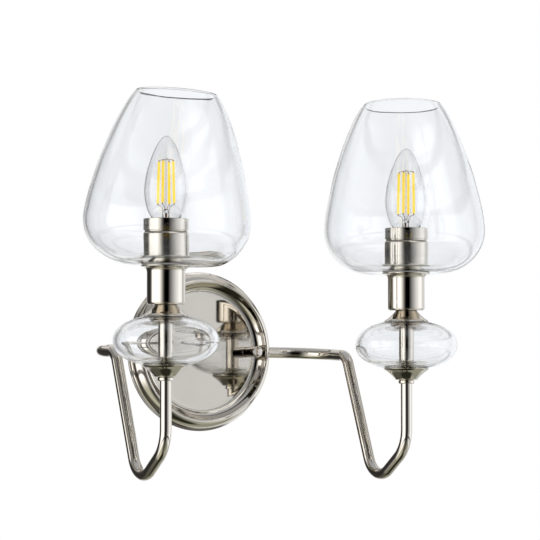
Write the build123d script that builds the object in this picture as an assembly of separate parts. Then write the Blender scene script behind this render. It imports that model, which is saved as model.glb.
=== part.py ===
from build123d import *
import os
from math import cos, radians, sin

# Double arm wall sconce. Millimetres, +Z up. The origin is the centre of the wall plate
# on the wall's surface. The light stands out towards -Y and is mirrored about X = 0.

# Where the lamps stand
LAMP_X = 112.0              # from the middle of the plate to each lamp's axis
LAMP_Y = -158.0             # the lamp axes, out from the wall

# Wall plate, a dish spun from sheet: radii, and depths out from the wall
PLATE_R = 68.0
PLATE_FOOT_DEPTH = 1.6
PLATE_STEP_R = 65.8
PLATE_RIM_R = 59.6
PLATE_RIM_DEPTH = 14.0
PLATE_FACE_R = 50.5
PLATE_FACE_DEPTH = 6.0
PLATE_SHEET = 1.0

# Strap behind the plate, its studs and the knobs that hold the plate to it
STUD_X = 44.5
STUD_R = 2.0
STUD_LENGTH = 21.0
STRAP_LENGTH = 102.0
STRAP_WIDTH = 18.0
STRAP_THICKNESS = 2.0
SLOT_SPACING = 66.0
SLOT_LENGTH = 14.0
SLOT_WIDTH = 4.6
EARTH_SCREW_X = 16.0
EARTH_SCREW_R = 2.0
EARTH_HEAD_R = 3.8
EARTH_HEAD_HEIGHT = 1.8
KNOB_R = 4.6
KNOB_LENGTH = 19.0

# Arm: a bent tube from the plate's side, out, forward, down, round and up to the lamp
TUBE_R = 4.75
TUBE_WALL = 0.7
ARM_START_X = 60.0
ARM_Y = -7.5                # the tube's centreline where it leaves the plate
ARM_OUT_X = 109.5
ARM_FORWARD = (-63.5, -3.7)     # (y, z) of the corner over the slanted leg
ARM_LOW = (-108.8, -114.4)      # (y, z) of the corner under the low bend
ARM_RISE_Z = -81.2
ARM_TOP_Z = -22.0
ARM_BENDS = (38.0, 12.0, 20.5, 28.0)

# Lamp stack: heights on the lamp's axis and outer radii
BEAD_R = 6.7
BEAD_BOTTOM = -29.1
CUP_BOTTOM = -25.9
CUP_END_R = 9.4
CUP_RIM_R = 19.0
CUP_HEIGHT = 10.4
BALL_CENTRE = 3.0
BALL_R = 42.4
BALL_HALF_HEIGHT = 21.0
BALL_GLASS = 3.4
BALL_HOLE_R = 8.5
SPINDLE_R = 6.2
ROD_R = 4.0
ROD_BORE_R = 2.6
ROD_BOTTOM = -38.0
ROD_TOP = 48.0
SEAT_BOTTOM = 31.5
SEAT_R = 15.4
SEAT_FLANGE_R = 20.2
SEAT_TOP = 62.8
METAL = 1.0                 # wall of the turned metal cups and sleeves
GASKET = 0.6
SHADE_BASE_GLASS = 3.6
SLEEVE_R = 18.2
SLEEVE_FLANGE_R = 20.7
SLEEVE_TOP = 89.3
RING_BOTTOM = 90.5
RING_TOP = 100.0
RING_R = 18.0
HOLDER_R = 13.9
HOLDER_BOTTOM = 42.0
HOLDER_FLOOR = 64.0
HOLDER_TOP = 96.0
SHELL_R = 7.8
SHELL_BORE_R = 7.3
FIT = 0.05                  # radial running clearance

# Shade: blown glass, open at the top
SHADE_HOLE_R = 14.6
SHADE_GLASS = 3.0
SHADE_R = 67.0
SHADE_WIDEST_Z = 96.0
SHADE_RIM_R = 33.2
SHADE_RIM_Z = 201.3

# Candle bulb on a 14 mm screw cap
CAP_R = 6.9
CAP_BOTTOM = 73.0
CAP_TOP = 94.5
BULB_R = 17.6
BULB_WIDEST_Z = 121.0
BULB_TIP_Z = 166.3
BULB_GLASS = 0.7
CONTACT_BOTTOM = 68.7
PRESS_TOP = 107.5
STEM_TOP = 148.5
FILAMENTS = 4
FILAMENT_FOOT = (7.0, 112.4)    # circle's radius, and height, of the lower ends
FILAMENT_HEAD = (6.2, 145.6)
FILAMENT_R = 0.95
WIRE_R = 0.25

SIDES = {"left": -1, "right": 1}


def spun(outline):
    """Spin a closed outline of (radius, height) round the upright axis."""
    return revolve(Plane.XZ * make_face(outline), Axis.Z)


def flowing(start, tangent, *points):
    """Arcs through the points, each leaving along the end of the one before it."""
    arcs = []
    for point in points:
        arc = TangentArc(start, point, tangent=tangent)
        arcs.append(arc)
        start, tangent = arc @ 1, arc % 1
    return arcs


def inset(arc, thickness):
    """The arc beside an arc, moved to its left by a wall's thickness."""
    moved = [arc @ at + thickness * Vector(-(arc % at).Y, (arc % at).X) for at in (0, 0.5, 1)]
    return ThreePointArc(*moved)


def tube(radius, bore, bottom, top):
    """An upright tube, or a plain rod where the bore is 0."""
    section = Circle(radius) - Circle(bore) if bore else Circle(radius)
    return extrude(Pos(0, 0, bottom) * section, top - bottom)


def facing_room(solid):
    """Turn a piece spun about +Z so that its axis points out of the wall, along -Y."""
    return Rot(90, 0, 0) * solid


def round_edges(solid, radius, height):
    """Round the circular edges of a turned piece that lie at one height."""
    edges = solid.edges().filter_by(GeomType.CIRCLE)
    edges = edges.filter_by_position(Axis.Z, height - 0.01, height + 0.01)
    return fillet(edges, radius)


# ---------------------------------------------------------------- wall plate and strap

def plate_line():
    """The dish's front face: foot, step, domed side, rolled rim, inner wall and face."""
    foot = Polyline((PLATE_R, 0), (PLATE_R, PLATE_FOOT_DEPTH), (PLATE_STEP_R, PLATE_FOOT_DEPTH + 0.6))
    rim = (PLATE_RIM_R, PLATE_RIM_DEPTH)
    side = ThreePointArc(foot @ 1, (64.9, 9.4), (62.2, 12.9))
    roll = TangentArc(side @ 1, rim, tangent=side % 1)
    lip = Line(rim, (58.4, 13.5))
    wall = ThreePointArc(lip @ 1, (55.6, 8.7), (PLATE_FACE_R, PLATE_FACE_DEPTH))
    face = Line(wall @ 1, (0, PLATE_FACE_DEPTH))
    return foot + side + roll + lip + wall + face


def make_wall_plate():
    section = offset(plate_line(), PLATE_SHEET, side=Side.LEFT, closed=True)
    sheet = facing_room(spun(section))
    arm_hole = Plane.YZ * Pos(ARM_Y, 0) * Circle(TUBE_R + FIT)
    reach = PLATE_R - PLATE_RIM_R + 2
    for side in SIDES.values():
        sheet -= extrude(Pos(side * (PLATE_RIM_R - 1.6), 0, 0) * arm_hole, side * reach)
        sheet -= Pos(side * STUD_X, 0, 0) * facing_room(tube(STUD_R + 0.3, 0, 0, 10))
    return sheet


def make_strap():
    """The mounting strap: rounded ends, two wall-screw slots, an earth screw's hole."""
    outline = SlotOverall(STRAP_LENGTH, STRAP_WIDTH)
    slots = Locations((-SLOT_SPACING / 2, 0), (SLOT_SPACING / 2, 0))
    for place in slots:
        outline -= place * SlotOverall(SLOT_LENGTH, SLOT_WIDTH)
    outline -= Pos(EARTH_SCREW_X, 0) * Circle(EARTH_SCREW_R + FIT)
    for side in SIDES.values():
        outline -= Pos(side * STUD_X, 0) * Circle(STUD_R + FIT)
    return facing_room(extrude(outline, STRAP_THICKNESS))


def make_studs():
    """Two studs whose flat heads lie in front of the strap and whose shanks pass the plate."""
    stud = tube(STUD_R, 0, 0, STUD_LENGTH) + tube(STUD_R + 1.6, 0, STRAP_THICKNESS, STRAP_THICKNESS + 1.8)
    return [Pos(side * STUD_X, 0, 0) * facing_room(stud) for side in SIDES.values()]


def make_earth_screw():
    head_top = STRAP_THICKNESS + EARTH_HEAD_HEIGHT
    screw = tube(EARTH_SCREW_R, 0, 0, STRAP_THICKNESS)
    head = round_edges(tube(EARTH_HEAD_R, 0, STRAP_THICKNESS, head_top), 0.7, head_top)
    slot = Pos(0, 0, head_top) * Box(2 * EARTH_HEAD_R, 0.9, 1.4)
    return Pos(EARTH_SCREW_X, 0, 0) * facing_room(screw + head - slot)


def make_knob():
    """A plain round knob with a softly rounded end and a blind hole for its stud."""
    base = PLATE_FACE_DEPTH + 0.1
    top = base + KNOB_LENGTH
    body = round_edges(tube(KNOB_R, 0, base, top), 0.9, top)
    bore = tube(STUD_R + FIT, 0, base, STUD_LENGTH + 1)
    return facing_room(body - bore)


# ---------------------------------------------------------------- arm

def make_arm():
    """The right arm, swept along straight runs joined by the four bends."""
    path = FilletPolyline(
        (ARM_START_X, ARM_Y, 0),
        (ARM_OUT_X, ARM_Y, 0),
        (ARM_OUT_X + 0.4, *ARM_FORWARD),
        (ARM_OUT_X + 1.5, *ARM_LOW),
        (LAMP_X, LAMP_Y, ARM_RISE_Z),
        (LAMP_X, LAMP_Y, ARM_TOP_Z),
        radius=ARM_BENDS,
    )
    section = Circle(TUBE_R) - Circle(TUBE_R - TUBE_WALL)
    start = Plane(origin=path @ 0, z_dir=path % 0)
    return sweep(start * section, path=path)


# ---------------------------------------------------------------- ball and its mounting

def make_bead():
    """The small rounded collar on the arm, under the lower cup."""
    bead = tube(BEAD_R, TUBE_R + FIT, BEAD_BOTTOM, CUP_BOTTOM)
    return fillet(bead.edges().filter_by(GeomType.CIRCLE).sort_by(SortBy.RADIUS)[-2:], 1.4)


def make_cup():
    """A spun cup, small end down at height 0: coved side and a rolled rim."""
    base = Polyline((TUBE_R + FIT, 0), (CUP_END_R - 0.6, 0), (CUP_END_R, 0.6))
    cove = ThreePointArc(base @ 1, (13.4, 4.6), (CUP_RIM_R - 1.6, 7.6))
    roll = ThreePointArc(cove @ 1, (CUP_RIM_R, 9.2), (CUP_RIM_R - 0.8, CUP_HEIGHT))
    inner = Polyline(roll @ 1, (CUP_RIM_R - 2.6, 9.6), (CUP_END_R, 1.6), (TUBE_R + FIT, 1.6), base @ 0)
    return spun(base + cove + roll + inner)


def ball_section(thickness):
    """Half of the ball's section: a round side that runs into a flatter crown above and below."""
    outside = flowing((BALL_R, 0), (0, 1), (39.5, 8.2), (26.9, 16.9), (0, BALL_HALF_HEIGHT))
    crown = [inset(arc, thickness) for arc in outside]
    middle = Polyline(crown[-1] @ 1, (0, 0), crown[0] @ 0)
    upper = make_face([*crown, *middle.edges()])
    return upper + mirror(upper, about=Plane.XZ)


def make_ball():
    """The hollow blown ball, flattened, with a hole at each pole for the spindle."""
    section = ball_section(0) - ball_section(BALL_GLASS)
    section -= Rectangle(2 * BALL_HOLE_R, 3 * BALL_HALF_HEIGHT)
    return Pos(0, 0, BALL_CENTRE) * revolve(Plane.XZ * section, Axis.Z)


def make_cups():
    """The cup under the ball, and the same cup turned over on top of it, both seated."""
    ball = Pos(0, 0, BALL_CENTRE) * revolve(Plane.XZ * ball_section(0), Axis.Z)
    lower = Pos(0, 0, CUP_BOTTOM) * make_cup() - ball
    upper = Pos(0, 0, SEAT_BOTTOM) * Rot(180, 0, 0) * make_cup() - ball
    return lower, upper


def make_spindle():
    """The tube seen through the ball, which keeps the two cups apart."""
    return tube(SPINDLE_R, TUBE_R + FIT, CUP_BOTTOM + 1.6, SEAT_BOTTOM - 1.6)


def make_rod():
    """The hollow threaded rod that ties arm, cups and lampholder together."""
    return tube(ROD_R, ROD_BORE_R, ROD_BOTTOM, ROD_TOP)


def make_rod_nut():
    nut = extrude(RegularPolygon(7.0, 6) - Circle(ROD_R + FIT), 4.0)
    return Pos(0, 0, SEAT_BOTTOM + 1.5) * nut


# ---------------------------------------------------------------- lampholder and fittings

def make_shade_seat():
    """The lower sleeve: closed and rounded below, coved out to a thin flange above."""
    bottom = Line((ROD_R + FIT, SEAT_BOTTOM), (SEAT_R - 2.2, SEAT_BOTTOM))
    corner = TangentArc(bottom @ 1, (SEAT_R, SEAT_BOTTOM + 2.2), tangent=(1, 0))
    side = Line(corner @ 1, (SEAT_R, SEAT_TOP - 4.2))
    cove = TangentArc(side @ 1, (SEAT_FLANGE_R - 1.4, SEAT_TOP - 1.2), tangent=(0, 1))
    edge = Polyline(cove @ 1, (SEAT_FLANGE_R, SEAT_TOP - 1.0), (SEAT_FLANGE_R, SEAT_TOP))
    bore = SEAT_R - METAL
    floor = SEAT_BOTTOM + 1.5
    inside = Polyline(edge @ 1, (bore, SEAT_TOP), (bore, floor), (ROD_R + FIT, floor), bottom @ 0)
    return spun(bottom + corner + side + cove + edge + inside)


def make_gaskets():
    """The soft washers under and over the shade's base."""
    lower = tube(SEAT_FLANGE_R - 0.8, SHADE_HOLE_R + 0.4, SEAT_TOP, SEAT_TOP + GASKET)
    return [lower, Pos(0, 0, GASKET + SHADE_BASE_GLASS) * lower]


def make_upper_sleeve():
    """The sleeve over the lampholder: a thin flange on the glass and a rounded top."""
    bottom = SEAT_TOP + 2 * GASKET + SHADE_BASE_GLASS
    side = Polyline((SLEEVE_R, bottom + 0.8), (SLEEVE_R, SLEEVE_TOP - 2.4))
    shoulder = TangentArc(side @ 1, (SLEEVE_R - 2.4, SLEEVE_TOP), tangent=(0, 1))
    bore = SLEEVE_R - METAL
    under = SLEEVE_TOP - METAL
    inside = Polyline(
        shoulder @ 1,
        (HOLDER_R + 0.3, SLEEVE_TOP),
        (HOLDER_R + 0.3, under),
        (bore - 1.4, under),
        (bore, under - 1.4),
        (bore, bottom),
        (SLEEVE_FLANGE_R, bottom),
        (SLEEVE_FLANGE_R, bottom + 0.8),
        side @ 0,
    )
    return spun(side + shoulder + inside)


def make_shade_ring():
    """The ring that screws down on the lampholder and clamps the sleeve and shade."""
    outline = Polyline(
        (HOLDER_R + FIT, SLEEVE_TOP + 0.1),
        (RING_R - 0.8, SLEEVE_TOP + 0.1),
        (RING_R - 0.8, RING_BOTTOM),
        (RING_R, RING_BOTTOM),
        (RING_R, RING_TOP),
        (RING_R - 1.2, RING_TOP),
        (RING_R - 1.2, RING_BOTTOM + 3),
        (HOLDER_R + FIT, RING_BOTTOM + 3),
        close=True,
    )
    return round_edges(spun(outline), 0.4, RING_TOP)


def make_lampholder():
    """The insulating body: a base on the rod, a solid floor and a socket above it."""
    body = tube(HOLDER_R, 0, HOLDER_BOTTOM, HOLDER_TOP)
    body -= tube(SHELL_R + FIT, 0, HOLDER_FLOOR, HOLDER_TOP + 1)
    body -= tube(ROD_R + FIT, 0, HOLDER_BOTTOM - 1, ROD_TOP + 1)
    return round_edges(body, 0.6, HOLDER_BOTTOM)


def make_screw_shell():
    """The brass shell that takes the bulb's cap, with a turned-in floor."""
    floor = tube(SHELL_BORE_R, 4.2, HOLDER_FLOOR, HOLDER_FLOOR + 0.6)
    return tube(SHELL_R, SHELL_BORE_R, HOLDER_FLOOR, HOLDER_TOP - 1) + floor


def make_holder_contact():
    """The centre contact in the floor of the socket."""
    return tube(3.2, 0, HOLDER_FLOOR, HOLDER_FLOOR + 1) + tube(1.6, 0, HOLDER_FLOOR, CONTACT_BOTTOM - 0.3)


# ---------------------------------------------------------------- shade

def make_shade():
    """Blown glass: a nearly flat base, a rounded shoulder and a long taper to the rim."""
    base_z = SEAT_TOP + GASKET
    base = Line((SHADE_HOLE_R, base_z), (36.0, base_z + 0.5))
    shoulder = [(48.7, 67.7), (60.7, 78.4), (SHADE_R, SHADE_WIDEST_Z)]
    side = [(64.6, 117.6), (54.5, 155.7), (SHADE_RIM_R, SHADE_RIM_Z)]
    outside = flowing(base @ 1, base % 1, *shoulder, *side)
    inside = [inset(arc, SHADE_GLASS) for arc in outside]
    start, end = outside[-1] @ 1, inside[-1] @ 1
    rim = ThreePointArc(start, (start + end) / 2 + (outside[-1] % 1) * SHADE_GLASS / 2, end)
    thick_z = base_z + SHADE_BASE_GLASS
    inner_base = Polyline(
        inside[0] @ 0,
        (SLEEVE_FLANGE_R + 3, thick_z),
        (SHADE_HOLE_R, thick_z),
        base @ 0,
    )
    return spun([base, *outside, rim, *inside, *inner_base.edges()])


# ---------------------------------------------------------------- bulb

def make_bulb_glass():
    """The candle envelope, open at its neck."""
    neck = [(9.8, 99.4), (17.25, 111.9), (BULB_R, BULB_WIDEST_Z)]
    flame = [(15.55, 138.2), (8.8, 157.1), (3.35, 164.9)]
    outside = flowing((CAP_R - 0.6, CAP_TOP - 1.5), (0, 1), *neck, *flame)
    inside = [inset(arc, BULB_GLASS) for arc in outside]
    tip, inner_tip = (0, BULB_TIP_Z), (0, BULB_TIP_Z - BULB_GLASS)
    outside += flowing(tip, (1, 0), outside[-1] @ 1)
    inside += flowing(inner_tip, (1, 0), inside[-1] @ 1)
    mouth = Line(inside[0] @ 0, outside[0] @ 0)
    return spun([*outside, Line(tip, inner_tip), *inside, mouth])


def make_bulb_cap():
    """The cap: a thin metal screw shell round the neck, drawn in below."""
    outline = Polyline(
        (CAP_R - 0.45, CAP_TOP),
        (CAP_R, CAP_TOP),
        (CAP_R, CAP_BOTTOM + 1.5),
        (CAP_R - 1.6, CAP_BOTTOM),
        (CAP_R - 2.0, CAP_BOTTOM + 0.3),
        (CAP_R - 0.45, CAP_BOTTOM + 1.8),
        close=True,
    )
    return spun(outline)


def make_cap_insulator():
    """The dark glass end of the cap that carries the tip contact."""
    outline = Polyline(
        (0, CAP_BOTTOM + 1),
        (CAP_R - 2.1, CAP_BOTTOM + 1),
        (CAP_R - 2.1, CAP_BOTTOM),
        (2.8, CONTACT_BOTTOM + 1.2),
        (0, CONTACT_BOTTOM + 1.2),
        close=True,
    )
    return spun(outline)


def make_tip_contact():
    bump = tube(2.4, 0, CONTACT_BOTTOM, CONTACT_BOTTOM + 1.2)
    return round_edges(bump, 0.8, CONTACT_BOTTOM)


def make_stem():
    """The glass mount inside the neck: a flared foot, a pinched press and a thin rod."""
    foot = Polyline((0, CAP_TOP - 1.4), (CAP_R - 1.5, CAP_TOP - 1.4), (CAP_R - 1.5, CAP_TOP - 0.6))
    flare = ThreePointArc(foot @ 1, (3.6, CAP_TOP + 3.4), (2.7, CAP_TOP + 8))
    press = Polyline(flare @ 1, (2.7, PRESS_TOP - 1.5), (0.7, PRESS_TOP))
    rod = Polyline(press @ 1, (0.7, STEM_TOP), (0, STEM_TOP), foot @ 0)
    return spun(foot + flare + press + rod)


def on_circle(ring, turn):
    """A point on a circle round the bulb's axis, from its (radius, height)."""
    radius, height = ring
    return (radius * cos(radians(turn)), radius * sin(radians(turn)), height)


def filament_turns():
    """The filaments stand a quarter turn apart, turned a little from the wall's square."""
    return [25 + 360 * i / FILAMENTS for i in range(FILAMENTS)]


def rod_between(start, end, radius):
    """A straight round rod from one point to another."""
    run = Line(start, end)
    return sweep(Plane(origin=run @ 0, z_dir=run % 0) * Circle(radius), path=run)


def make_filaments():
    """Four straight strips that lean in a little towards their upper ends."""
    turns = filament_turns()
    return [rod_between(on_circle(FILAMENT_FOOT, t), on_circle(FILAMENT_HEAD, t), FILAMENT_R) for t in turns]


def make_wires():
    """Wires from the press out to the filaments' feet, and from the rod's end to their tops."""
    wires = []
    for turn in filament_turns():
        low = on_circle((1.8, PRESS_TOP - 2.5), turn)
        high = on_circle((0.4, STEM_TOP - 0.6), turn)
        wires.append(rod_between(low, on_circle(FILAMENT_FOOT, turn), WIRE_R))
        wires.append(rod_between(high, on_circle(FILAMENT_HEAD, turn), WIRE_R))
    return wires


# ---------------------------------------------------------------- write every piece

def lamp_pieces():
    """Every piece on a lamp's axis, by name, standing at the origin."""
    lower_cup, upper_cup = make_cups()
    return {
        "arm_bead": make_bead(),
        "lower_cup": lower_cup,
        "glass_ball": make_ball(),
        "ball_spindle": make_spindle(),
        "upper_cup": upper_cup,
        "threaded_rod": make_rod(),
        "rod_nut": make_rod_nut(),
        "shade_seat": make_shade_seat(),
        "shade_gaskets": make_gaskets(),
        "glass_shade": make_shade(),
        "upper_sleeve": make_upper_sleeve(),
        "shade_ring": make_shade_ring(),
        "lampholder": make_lampholder(),
        "screw_shell": make_screw_shell(),
        "holder_contact": make_holder_contact(),
        "bulb_glass": make_bulb_glass(),
        "bulb_cap": make_bulb_cap(),
        "bulb_insulator": make_cap_insulator(),
        "bulb_tip_contact": make_tip_contact(),
        "bulb_stem": make_stem(),
        "bulb_filaments": make_filaments(),
        "bulb_wires": make_wires(),
    }


def write(name, piece, place=Pos(0, 0, 0)):
    """Write one piece, or a group of like solids, to its own file."""
    solids = piece if isinstance(piece, list) else [piece]
    placed = [place * solid for solid in solids]
    shape = placed[0] if len(placed) == 1 else Compound(children=placed)
    export_step(shape, f"parts/{name}.step")


def main():
    os.makedirs("parts", exist_ok=True)
    write("wall_plate", make_wall_plate())
    write("mounting_strap", make_strap())
    write("plate_studs", make_studs())
    write("earth_screw", make_earth_screw())
    arm = make_arm()
    knob = make_knob()
    lamp = lamp_pieces()
    for name, side in SIDES.items():
        write(f"arm_{name}", arm if side > 0 else mirror(arm, about=Plane.YZ))
        write(f"knob_{name}", knob, Pos(side * STUD_X, 0, 0))
        for piece, solid in lamp.items():
            write(f"{piece}_{name}", solid, Pos(side * LAMP_X, LAMP_Y, 0))


main()
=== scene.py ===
import math

import bmesh
import bpy
import numpy as np
from mathutils import Matrix, Vector, noise


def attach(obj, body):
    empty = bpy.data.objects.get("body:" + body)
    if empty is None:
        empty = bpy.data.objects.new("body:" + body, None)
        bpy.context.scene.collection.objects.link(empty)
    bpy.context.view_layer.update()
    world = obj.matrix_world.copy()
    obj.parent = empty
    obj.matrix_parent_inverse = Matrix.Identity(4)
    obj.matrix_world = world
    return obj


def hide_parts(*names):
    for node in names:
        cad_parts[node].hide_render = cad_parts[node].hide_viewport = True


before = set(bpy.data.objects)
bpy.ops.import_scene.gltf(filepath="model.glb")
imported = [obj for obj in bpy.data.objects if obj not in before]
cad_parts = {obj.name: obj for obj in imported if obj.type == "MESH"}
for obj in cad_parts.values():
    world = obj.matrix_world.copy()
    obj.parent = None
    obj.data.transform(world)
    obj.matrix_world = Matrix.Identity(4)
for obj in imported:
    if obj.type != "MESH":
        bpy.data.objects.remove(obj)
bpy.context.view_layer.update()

bl_info = {
    "name": "Double Arm Wall Sconce",
    "version": (1, 0, 0),
    "blender": (4, 5, 0),
    "location": "View3D > Sidebar > Sconce",
    "description": "Dresses a two-lamp wall light in polished nickel, blown glass and candle bulbs",
    "category": "Add Mesh",
}

# Outlines are written in millimetres as (radius, height), or (radius, height, ease). A height is
# above the plate's middle on a lamp, and out from the wall on the plate and the knobs.
MM = 0.001
SIDES = {"left": -1, "right": 1}
OUT_OF_WALL = Matrix.Rotation(math.radians(90), 4, "X")

# The stage: angles in degrees, places and distances in metres, the lens in millimetres.
CAMERA_TURN = -29.0
CAMERA_TILT = -3.2
CAMERA_DISTANCE = 2.6
CAMERA_LENS = 206.0
CAMERA_TARGET = (0.0286, -0.075, 0.0672)
LAMP_PLACE = (-0.8, -1.4, 1.8)
LAMP_TARGET = (0.0, -0.1, 0.0)
FLOOR_PLACE = (0.0, -0.1, -0.34)


# ---------------------------------------------------------------- sizes and colours

def length(millimetres, name, description):
    """A length that the sidebar shows in the scene's own unit."""
    return bpy.props.FloatProperty(
        name=name, description=description, default=millimetres * MM,
        unit="LENGTH", subtype="DISTANCE",
    )


def angle(degrees, name, description):
    return bpy.props.FloatProperty(
        name=name, description=description, default=math.radians(degrees), subtype="ANGLE"
    )


def stretch(share, name, description):
    return bpy.props.FloatProperty(
        name=name, description=description, default=share, min=0.9, max=1.1
    )


def colour(rgb, name, description):
    return bpy.props.FloatVectorProperty(
        name=name, description=description, default=rgb, size=3, min=0.0, max=1.0, subtype="COLOR"
    )


class SconceMetal(bpy.types.PropertyGroup):
    lamp_x: length(112.0, "Lamp spread", "From the plate's middle to each lamp's axis")
    lamp_y: length(-158.0, "Lamp reach", "From the wall to the lamp axes")
    plate_r: length(68.0, "Plate radius", "The wall plate's foot")
    rim_depth: length(14.0, "Rim depth", "How far the plate's rolled rim stands out of the wall")
    face_depth: length(6.0, "Face depth", "How far the plate's sunk face stands out of the wall")
    knob_x: length(44.5, "Knob spread", "From the plate's middle to each knob")
    knob_r: length(4.6, "Knob radius", "The round knobs that hold the plate")
    knob_length: length(19.0, "Knob length", "From the plate's face to the knob's end")
    tube_r: length(4.75, "Tube radius", "The bent tube of each arm")
    tube_wall: length(0.7, "Tube wall", "The thickness of the arm's tube")
    bead_r: length(6.7, "Bead radius", "The collar under the lower cup")
    cup_r: length(19.0, "Cup radius", "The rim of the cups that hold the ball")
    spindle_r: length(6.2, "Spindle radius", "The tube seen through the ball")
    seat_r: length(15.4, "Seat radius", "The sleeve under the shade")
    sleeve_r: length(18.2, "Sleeve radius", "The sleeve inside the shade")
    ring_r: length(18.0, "Ring radius", "The clamping ring over the sleeve")


class SconceGlass(bpy.types.PropertyGroup):
    ball_r: length(42.4, "Ball radius", "The flattened ball, at its equator")
    ball_half_height: length(21.0, "Ball half height", "From the ball's middle to its top")
    ball_wall: length(3.4, "Ball wall", "The thickness of the ball's glass")
    shade_wall: length(3.0, "Shade wall", "The thickness of the shade's glass")
    shade_waves: length(0.22, "Shade waves", "How uneven the inside of the blown glass is")
    # Each shade's lean and offset are as the viewer sees them: to the right, and away.
    lean_left: angle(4.3, "Left lean", "How far the left shade leans to the right")
    back_left: angle(0.4, "Left backward lean", "How far the left shade leans away")
    aside_left: length(-2.0, "Left offset", "How far the left shade's body lies to the right")
    lean_right: angle(-0.6, "Right lean", "How far the right shade leans to the right")
    back_right: angle(4.6, "Right backward lean", "How far the right shade leans away")
    aside_right: length(-1.0, "Right offset", "How far the right shade's body lies to the right")
    stretch_left: stretch(1.0, "Left stretch", "How tall the left shade is, against the design")
    stretch_right: stretch(1.02, "Right stretch", "How tall the right shade is, against the design")
    bulb_r: length(17.6, "Bulb radius", "The candle bulb at its widest")
    bulb_wall: length(0.7, "Bulb wall", "The thickness of the bulb's glass")
    filament_r: length(1.05, "Light strip radius", "The strips inside the bulb")
    filament_count: bpy.props.IntProperty(
        name="Light strips", description="How many strips stand in each bulb", default=4, min=1
    )


class SconceFinish(bpy.types.PropertyGroup):
    nickel: colour((0.70, 0.655, 0.585), "Nickel", "The polished metal")
    clear: colour((0.984, 0.989, 0.996), "Clear glass", "The blown glass's own tint")
    strip: colour((1.0, 0.66, 0.03), "Light strip", "The coat on the bulb's strips")
    floor: colour((0.88, 0.88, 0.86), "Floor", "The pale floor under the light")


class InMillimetres:
    """Reads the lengths of a property group in millimetres."""

    def __init__(self, group):
        self.group = group

    def __getattr__(self, name):
        return getattr(self.group, name) / MM


# ---------------------------------------------------------------- node trees in Python

class Wire:
    """An output socket that Python arithmetic builds on, adding the node for each sum."""

    def __init__(self, graph, socket):
        self.graph = graph
        self.socket = socket

    def __add__(self, other):
        return self.graph.maths("ADD", self, other)

    def __sub__(self, other):
        return self.graph.maths("SUBTRACT", self, other)

    def __mul__(self, other):
        return self.graph.maths("MULTIPLY", self, other)

    __radd__ = __add__
    __rmul__ = __mul__


class Graph:
    """A node tree that is written as calls and sums."""

    def __init__(self, tree):
        self.tree = tree

    def node(self, kind, settings=None, sockets=None, output=0):
        """Add one node: its settings first, then the values or links of its sockets."""
        made = self.tree.nodes.new(kind)
        for name, value in (settings or {}).items():
            if name == "stops":
                self.set_stops(made.color_ramp, value)
            else:
                setattr(made, name, value)
        for key, value in (sockets or {}).items():
            self.plug(made.inputs[key], value)
        return Wire(self, made.outputs[output])

    def maths(self, operation, *values):
        return self.node("ShaderNodeMath", {"operation": operation}, dict(enumerate(values)))

    def vector(self, operation, *values, output=0):
        return self.node(
            "ShaderNodeVectorMath", {"operation": operation}, dict(enumerate(values)), output
        )

    def between(self, value, low, high, start=0.0, end=1.0, kind="LINEAR"):
        """A value's place from low to high, as a number from start to end."""
        return self.node(
            "ShaderNodeMapRange", {"interpolation_type": kind},
            {0: value, 1: low, 2: high, 3: start, 4: end},
        )

    def light_path(self, *names):
        """What kind of ray is looking, from the outputs of one Light Path node."""
        outputs = self.tree.nodes.new("ShaderNodeLightPath").outputs
        return [Wire(self, outputs[name]) for name in names]

    def plug(self, socket, value):
        if isinstance(value, Wire):
            self.tree.links.new(value.socket, socket)
        else:
            socket.default_value = value

    @staticmethod
    def set_stops(ramp, stops):
        while len(ramp.elements) < len(stops):
            ramp.elements.new(1.0)
        for element, (place, level) in zip(ramp.elements, stops):
            element.position = place
            element.color = (level, level, level, 1.0)

    def blend(self, factor, low, high):
        """A colour between two others."""
        low, high = [(*c, 1.0) if isinstance(c, tuple) else c for c in (low, high)]
        return self.node("ShaderNodeMix", {"data_type": "RGBA"}, {0: factor, 6: low, 7: high}, 2)


# ---------------------------------------------------------------- finishes

class Finish(Graph):
    """A material whose patterns lie on the piece's own object coordinates."""

    def __init__(self, name):
        self.material = bpy.data.materials.new(name)
        self.material.use_nodes = True
        super().__init__(self.material.node_tree)
        self.shader = self.tree.nodes["Principled BSDF"]
        self.place = self.node("ShaderNodeTexCoord", output="Object")

    def cloud(self, scale, detail=2.0, stretch=(1, 1, 1)):
        """Soft noise from 0 to 1; scale is in cells to the metre."""
        spot = self.node("ShaderNodeMapping", {}, {"Vector": self.place, "Scale": stretch})
        return self.node(
            "ShaderNodeTexNoise", {}, {"Vector": spot, "Scale": scale, "Detail": detail}
        )

    def ramp(self, value, *stops):
        return self.node("ShaderNodeValToRGB", {"stops": stops}, {"Fac": value})

    def bump(self, height, strength, distance):
        self.set(Normal=self.node(
            "ShaderNodeBump", {}, {"Height": height, "Strength": strength, "Distance": distance}
        ))

    def set(self, **sockets):
        for name, value in sockets.items():
            value = (*value, 1.0) if isinstance(value, tuple) else value
            self.plug(self.shader.inputs[name.replace("_", " ")], value)


def nickel(finish, tone):
    """Polished nickel: a warm mirror with faint polishing haze."""
    haze = finish.ramp(finish.cloud(38, 4), (0.35, 0.0), (0.75, 1.0))
    grain = finish.cloud(240, 2)
    finish.set(
        Base_Color=finish.blend(haze, tone, tuple(c * 0.96 for c in tone)),
        Metallic=1.0,
        Roughness=0.016 + 0.030 * haze + 0.010 * grain,
    )
    finish.bump(finish.cloud(40, 1), 0.02, 0.00002)


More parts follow.
